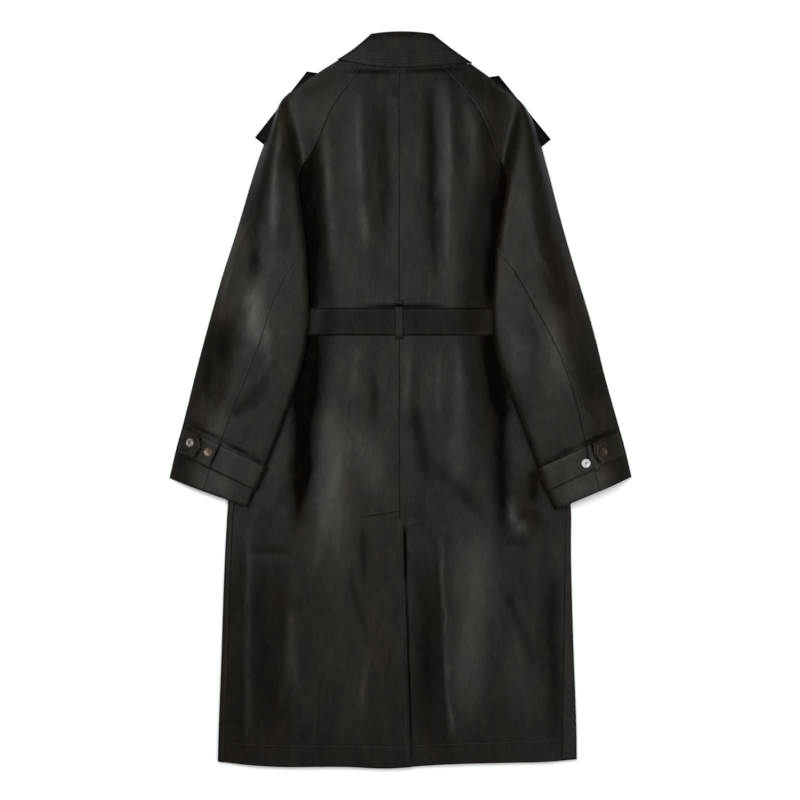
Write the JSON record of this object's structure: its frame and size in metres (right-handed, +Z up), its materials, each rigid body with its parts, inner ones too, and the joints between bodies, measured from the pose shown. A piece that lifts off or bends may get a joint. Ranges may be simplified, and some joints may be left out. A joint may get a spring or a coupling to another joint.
{
  "type": "long raglan trench coat",
  "caption": "Long raglan trench coat in smooth dark leather with belt and back vent, laid flat, back up, sleeves at its sides.",
  "frame": {"origin": "centre of the bounding box in plan, on the surface that the coat lies on", "axes": "+X to the right as seen from above, +Y towards the collar, +Z up, away from the surface"},
  "size_m": [0.78, 1.2414, 0.0396],
  "materials": {
    "leather": "satin",
    "inner_leather": "satin",
    "horn": "gloss",
    "dark_horn": "gloss"
  },
  "bodies": {
    "root": {"back_left": "leather", "back_right": "leather", "front_left": "inner_leather", "front_right": "inner_leather", "sleeve_back_left": "leather", "sleeve_under_left": "leather", "sleeve_front_left": "inner_leather", "sleeve_back_right": "leather", "sleeve_under_right": "leather", "sleeve_front_right": "inner_leather", "belt": "leather", "belt_loop": "leather", "cuff_strap_left": "leather", "cuff_strap_right": "leather", "cuff_tab_left": "leather", "cuff_tab_right": "leather", "cuff_loop_right": "leather", "button_left_outer": "horn", "button_left_inner": "dark_horn", "button_right_inner": "horn", "button_right_outer": "dark_horn", "epaulette_left": "inner_leather", "epaulette_right": "inner_leather", "collar_fall": "leather", "collar_stand": "inner_leather"}
  },
  "joints": []
}
